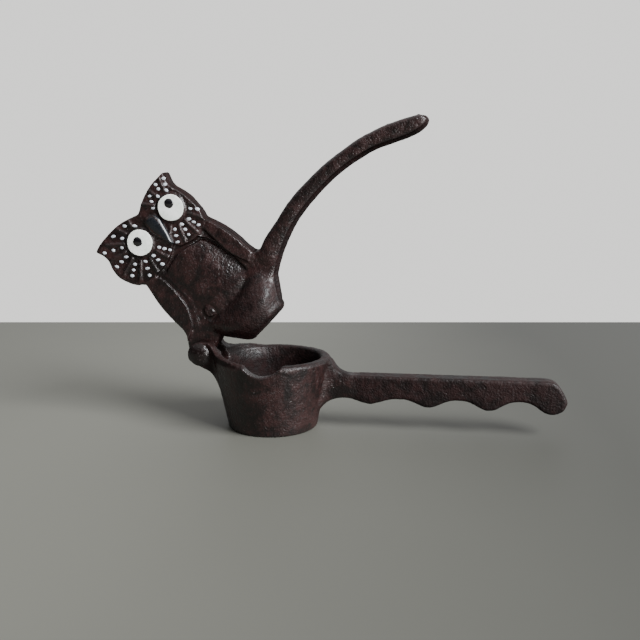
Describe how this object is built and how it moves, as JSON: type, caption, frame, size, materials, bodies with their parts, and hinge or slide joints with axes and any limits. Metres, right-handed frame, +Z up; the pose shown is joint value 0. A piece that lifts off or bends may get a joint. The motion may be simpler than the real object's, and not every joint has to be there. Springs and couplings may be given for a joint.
{
  "type": "lever nutcracker press",
  "caption": "Cast iron owl nutcracker with a cup on a finger grip, and a hinged lever whose plunger presses down into the cup.",
  "frame": {"origin": "centre of the cup's foot, on the table", "axes": "+X along the grip, +Y away from the owl's face, +Z up"},
  "size_m": [0.2085, 0.0522, 0.1357],
  "materials": {
    "casting": "semi-gloss dark brown-black coat over a grainy casting",
    "rivet": "the same dark coat, smoother, over a domed rivet",
    "white_enamel": "glossy hand-painted enamel",
    "black_enamel": "glossy hand-painted enamel",
    "blue_black_enamel": "glossy hand-painted enamel",
    "pale_enamel": "small hand-painted enamel dabs"
  },
  "bodies": {
    "base": {"cup_base": "casting", "pivot_rivet": "rivet"},
    "lever": {"owl_lever": "casting", "eye_enamel": "white_enamel", "pupil_enamel": "black_enamel", "beak_enamel": "blue_black_enamel", "feather_dabs": "pale_enamel"}
  },
  "joints": [
    {"name": "lever_pivot", "type": "hinge", "parent": "base", "child": "lever", "pos_m": [-0.0315, 0, 0.033], "axis": [0, -1, 0], "range_deg": [-48, 48]}
  ]
}
